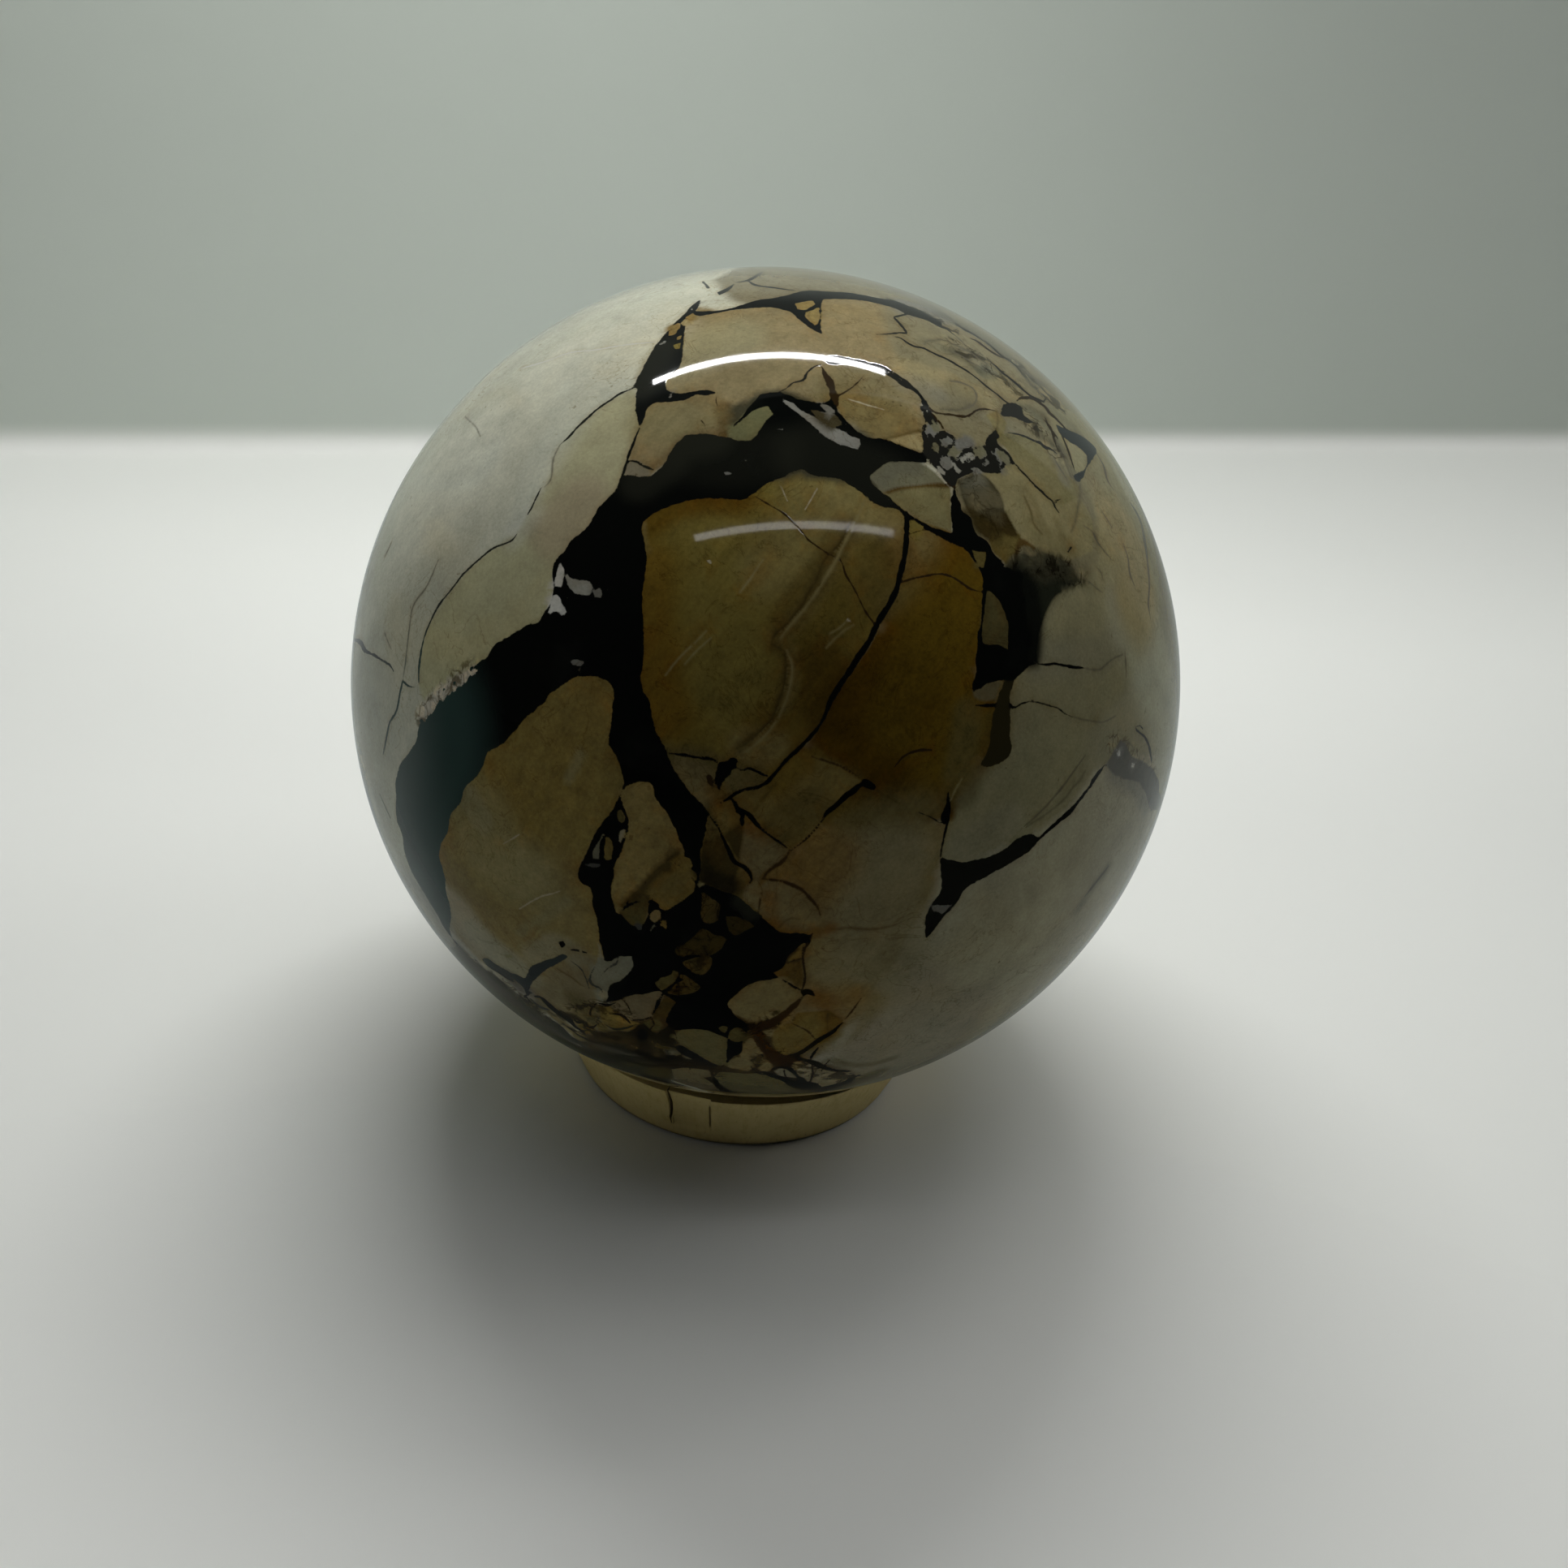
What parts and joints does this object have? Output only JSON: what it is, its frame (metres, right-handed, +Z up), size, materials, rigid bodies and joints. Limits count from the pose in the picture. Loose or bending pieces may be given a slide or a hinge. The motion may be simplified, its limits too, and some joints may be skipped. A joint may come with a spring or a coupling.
{
  "type": "polished stone sphere on ring stand",
  "caption": "Polished agate sphere with a dark-veined breccia pattern, resting in the dished seat of a low flared wooden ring stand.",
  "frame": {"origin": "centre of the ring stand's foot, on the plane it stands on, straight below the sphere's centre", "axes": "+Z up along the ring's axis through the sphere's centre, -Y towards the front, the side with the large black vein and the ring's drying crack, +X to the right as seen from the front"},
  "size_m": [0.07, 0.07, 0.0733],
  "materials": {
    "agate": "polished",
    "stand_wood": "satin"
  },
  "bodies": {
    "root": {"agate_sphere": "agate", "ring_stand": "stand_wood"}
  },
  "joints": []
}
